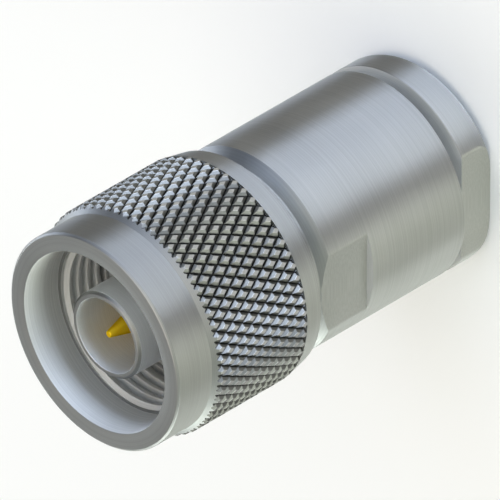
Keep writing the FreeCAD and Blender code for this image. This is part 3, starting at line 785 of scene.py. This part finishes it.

# %% [markdown]
# On the knurl the flat tops keep the plating's colour, while the flanks are painted darker as painted shade,
# and the bottom of each groove is painted nearly black as a thin line of dirt and painted shade. A second
# material for each of the three would need its own faces. The distance from the axis tells them apart just
# as well, so one material changes its colour with it. A knurl is pressed or milled, not turned, so its
# reflection isn't spread.

# %% Knurled metal
knurled = turned_metal("knurled_plating", grey(0.42), grey(0.37), 0.36, 0.0, relief=0.1, edge=0.05)
tree = knurled.node_tree
shader = tree.nodes["Principled BSDF"]
_, radius_socket, _ = axis_coordinates(tree)
# painted shade: darker flanks, and groove bottoms painted nearly black as dirt and shade
GROOVE_DIRT_AND_SHADE, FLANK_SHADE = (0.02, 0.02, 0.02), (0.17, 0.17, 0.16)
out_of_groove = map_range(tree, radius_socket, (ROOT + 0.01) * MM, (ROOT + 0.08) * MM)
on_top = map_range(tree, radius_socket, (ROOT + DEPTH - 0.03) * MM, (ROOT + DEPTH - 0.005) * MM)
top_colour = shader.inputs["Base Color"].links[0].from_socket
painted_flank_shade = blend_colour(tree, out_of_groove, GROOVE_DIRT_AND_SHADE, FLANK_SHADE)
link(tree, blend_colour(tree, on_top, painted_flank_shade, top_colour), shader.inputs["Base Color"])
print("knurl:", knurled.name, "with", len(tree.nodes), "nodes")

# %% [markdown]
# ## Plastic and rubber
# The insulators are a white fluoroplastic: waxy, with a soft grain. The two rubbers are matte, with
# a fine grain from the mould. Grain could be an image, but noise in space needs no unwrapping and
# has no seam. The three materials share it as a group.

# %% Node group for grain
grain, given, result = new_group("grain", "Grains per metre", 6000.0, ["Height", "Tone"])
grains = noise_in_space(grain, given.outputs[0], detail=4.0)
link(grain, grains, result.inputs["Height"])
link(grain, map_range(grain, grains, NOISE_LOW, NOISE_HIGH), result.inputs["Tone"])
print("group:", grain.name)

# %% [markdown]
# The three differ only in colour, roughness and the size of the grain, so one function makes them.

# %% Plastic and rubber
GRAIN_DEPTH = 0.03
ROUGHER = 1.15


def matte(name, light, dark, roughness, grains, relief):
    """A matte material with the grain in its colour, its roughness and its bump."""
    material, tree, shader = new_material(name)
    mould = place_group(tree, grain, grains)
    link(tree, blend_colour(tree, mould.outputs["Tone"], dark, light), shader.inputs["Base Color"])
    rough = map_range(tree, mould.outputs["Height"], 0.3, 0.7, roughness, roughness * ROUGHER)
    link(tree, rough, shader.inputs["Roughness"])
    add_relief(tree, shader, mould.outputs["Height"], relief, GRAIN_DEPTH)
    return material


insulator = matte("white_fluoroplastic", (0.86, 0.86, 0.83), (0.8, 0.8, 0.77), 0.45, 1500.0, 0.15)
black_rubber = matte("black_rubber", (0.035, 0.035, 0.035), (0.02, 0.02, 0.02), 0.75, 6000.0, 0.4)
grey_rubber = matte("grey_rubber", (0.3, 0.31, 0.3), (0.25, 0.26, 0.25), 0.7, 6000.0, 0.4)
print("matte:", insulator.name, black_rubber.name, grey_rubber.name)

# %% [markdown]
# ## A material for every piece
# The record names a finish for each node, so most pieces, and the imported nodes that stay, take theirs from
# it by name. Body and clamp nut get a copy of the plating painted a shade lighter than the coupling nut's,
# as painted light. The sleeve's plating is brighter, and it is painted lighter still as painted light
# against the shade in the mouth.

# %% Give every piece its material
finish = {
    "plated_brass": plating,
    "gold_plated_brass": gold,
    "white_insulator": insulator,
    "clamp_rubber": black_rubber,
    "seal_rubber": grey_rubber,
    "spring_bronze": bronze,
}
for piece in [*made.values(), *nodes.values()]:
    name = piece.get("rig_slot") or slots[piece.name]
    piece.data.materials.clear()
    piece.data.materials.append(finish[name])
# painted light: lighter copies of the plating on the body and the clamp nut
plug_body.data.materials[0] = barrel_plating
clamp_nut.data.materials[0] = clamp_plating
# painted light on the sleeve, on top of its brighter plating
made["outer_contact"].data.materials[0] = sleeve_plating_and_light
# painted light on the coupling nut's thread inside the mouth
made["coupling_thread"].data.materials[0] = painted_light_plating
print(len(made), "new pieces and", len(nodes), "packed nodes have their materials")

# %% [markdown]
# Some surfaces of a piece differ from the rest of it. Faces that are cut across the axis, and bevels, are
# turned with a finer feed than the long walls, so they spread light less, and their colour is painted a
# shade darker as painted shade. The coupling nut's mouth and thread bore, and the square faces of the body
# and the clamp nut with those in the gaps, are painted much lighter as painted light against the shade that
# falls there. The faces could be picked by hand in Edit Mode, but a rule on their place and direction finds
# them again after any change.

# %% Finishes of single surfaces
FACED_FROM = 0.6
SQUARE_FROM = 0.97


def face_values(piece, label):
    """The faces' centres or normals as rows of three."""
    values = np.empty(3 * len(piece.data.polygons))
    piece.data.polygons.foreach_get(label, values)
    return values.reshape(-1, 3)


def squareness(piece):
    """How far each face lies across the axis: 1 for a flat end, 0 for a wall along the axis."""
    return np.abs(face_values(piece, "normal")[:, 2])


def paint(piece, material, mask):
    """Give the faces of a mask a material of their own."""
    index = np.empty(len(piece.data.polygons), np.int32)
    piece.data.polygons.foreach_get("material_index", index)
    index[mask] = len(piece.data.materials)
    piece.data.materials.append(material)
    piece.data.polygons.foreach_set("material_index", index)
    print(piece.name, "has", int(mask.sum()), "faces of", material.name)


centre = face_values(coupling_nut, "center")
within = np.hypot(centre[:, 0], centre[:, 1]) < (MOUTH_R + EDGE) * MM
in_front = centre[:, 2] > (NUT + RING_ROOM_FRONT + EDGE) * MM
# painted light in the mouth and on the square faces of the body and the clamp nut
paint(coupling_nut, painted_light_plating, within & in_front)
paint(coupling_nut, knurled, is_knurl)
# painted shade on faces across the axis and on bevels
paint(coupling_nut, faced_and_shaded, (squareness(coupling_nut) > FACED_FROM) & ~is_knurl)
paint(made["outer_contact"], faced_and_shaded, squareness(made["outer_contact"]) > FACED_FROM)
paint(plug_body, faced_and_shaded, squareness(plug_body) > FACED_FROM)
paint(plug_body, painted_light_plating, squareness(plug_body) > SQUARE_FROM)
paint(clamp_nut, painted_light_plating, squareness(clamp_nut) > SQUARE_FROM)

# %% [markdown]
# ## Floor
# The plug stands on a pale floor, a plain square that is much larger than the picture. Its colour
# alone makes the background pale, and it keeps the plug's soft shadow. It has no gloss, because a
# shiny floor would show a second plug.

# %% Floor
FLOOR_HALF = 3000.0
FLOOR_WHITE = 0.95
floor_points = np.array([(-1, -1, 0), (1, -1, 0), (1, 1, 0), (-1, 1, 0)]) * FLOOR_HALF
floor = new_object("floor", floor_points, [(0, 1, 2, 3)])
floor_material, tree, shader = new_material("pale_floor", Roughness=0.9)
shader.inputs["Base Color"].default_value = (FLOOR_WHITE, FLOOR_WHITE, FLOOR_WHITE, 1)
shader.inputs["Specular IOR Level"].default_value = 0.0
floor.data.materials.append(floor_material)
print("the floor is", 2 * FLOOR_HALF * MM, "m wide")

# %% [markdown]
# ## Tent of soft panels
# Metal shows whatever is round it, so a photographer puts a small shiny thing in a tent and hangs
# white and black cards round it. Area lamps could stand for the cards, but a bare lamp leaves a hard
# edge in the metal. Here the world is the tent, and each panel is (degrees round the plug,
# brightness, tint). The low panels stand just above the horizon and draw the bands along the barrel,
# and they are narrow, so they add little light to the floor. The high ones fill, and the roof lights
# the faces that look up. At the horizon the tent is plain white, which the camera sees behind the
# floor.

# %% Panels of the tent
COOL, WARM, PLAIN, SOFT = (0.85, 1.0, 1.3), (0.92, 1.0, 0.84), (0.93, 1.0, 0.93), (0.96, 1.0, 1.03)
low_panels = [
    (-180, 10, PLAIN), (-145, 9, PLAIN), (-130, 5, WARM), (-105, 6, WARM), (-85, 7, PLAIN),
    (-68, 1, COOL), (-60, 1, COOL), (-45, 10, COOL), (-15, 11, COOL), (10, 9, COOL), (25, 9, COOL),
    (40, 0, COOL), (70, 0, COOL), (85, 5, COOL), (105, 10, SOFT), (180, 10, PLAIN),
]
high_panels = [
    (-180, 0.3, PLAIN), (-135, 0.1, PLAIN), (-95, 0.8, WARM), (-70, 0, PLAIN), (-60, 0, PLAIN),
    (-45, 1, PLAIN), (5, 0.6, COOL), (25, 0.8, COOL), (45, 0, COOL), (95, 0, COOL),
    (115, 0.6, SOFT), (140, 0.2, SOFT), (180, 0.3, PLAIN),
]
ROOF = (2.4, 2.22, 2.0)
WHITE = (1.0, 1.0, 1.0)
LOW_FROM, HIGH_FROM, ROOF_FROM = (2.5, 3.5), (11, 13), (59, 65)
print("panels:", len(low_panels), "low and", len(high_panels), "high")

# %% [markdown]
# For each direction the world has one colour. The panels of a tier are the stops of a colour ramp,
# which is read by the direction on the compass, and a mask on the height puts each tier in its place.

# %% Tent
world = bpy.data.worlds.new("tent")
bpy.context.scene.world = world
world.use_nodes = True
tree = world.node_tree
direction = tree.nodes.new("ShaderNodeTexCoord")
parts = tree.nodes.new("ShaderNodeSeparateXYZ")
link(tree, direction.outputs["Generated"], parts.inputs[0])
compass = math_node(tree, "ARCTAN2", parts.outputs[1], parts.outputs[0])
azimuth = map_range(tree, compass, -math.pi, math.pi)


def tier(panels):
    """A colour for each direction on the compass, from stops of degrees, level and tint."""
    ramp = tree.nodes.new("ShaderNodeValToRGB")
    link(tree, azimuth, ramp.inputs[0])
    stops = ramp.color_ramp.elements
    for _ in range(len(panels) - 2):
        stops.new(0.5)
    for stop, (degrees, level, tint) in zip(stops, panels):
        stop.position = (degrees + 180) / 360
        stop.color = (*(level * part for part in tint), 1)
    return ramp.outputs[0]


def above(low, high):
    """A mask that rises from 0 to 1 between two elevations in degrees."""
    return map_range(tree, parts.outputs[2], math.sin(math.radians(low)), math.sin(math.radians(high)))


sky = blend_colour(tree, above(*LOW_FROM), WHITE, tier(low_panels))
sky = blend_colour(tree, above(*HIGH_FROM), sky, tier(high_panels))
sky = blend_colour(tree, above(*ROOF_FROM), sky, ROOF)
background = tree.nodes["Background"]
link(tree, sky, background.inputs["Color"])
background.inputs["Strength"].default_value = 1.0
print("the tent has", len(tree.nodes), "nodes")

# %% [markdown]
# ## Camera
# The picture is a parallel view along a cube's diagonal, with the plug's axis running to the lower
# left. An orthographic camera would do, but a very long lens from far away gives the same view and
# stays an ordinary camera. The directions below are the camera's right, back and up, and the
# distance makes the picture 41.25 mm wide at the plug.

# %% Camera
PICTURE_WIDTH = 41.254
LENS, SENSOR = 1400.0, 36.0
AIM = Vector((6.252, -5.975, 26.373)) * MM
right = Vector((0, -1, -1)).normalized()
back = Vector((1, -1, 1)).normalized()
up_direction = back.cross(right)
distance = PICTURE_WIDTH * LENS / SENSOR * MM
lens = bpy.data.cameras.new("camera")
lens.lens, lens.sensor_width = LENS, SENSOR
lens.clip_start, lens.clip_end = 0.1, 20.0
camera = bpy.data.objects.new("camera", lens)
bpy.context.scene.collection.objects.link(camera)
pose = Matrix((right, up_direction, back)).transposed().to_4x4()
camera.matrix_world = Matrix.Translation(AIM + back * distance) @ pose
bpy.context.scene.camera = camera
bpy.context.scene.view_settings.view_transform = "Standard"
print("camera", round(distance, 3), "m away")
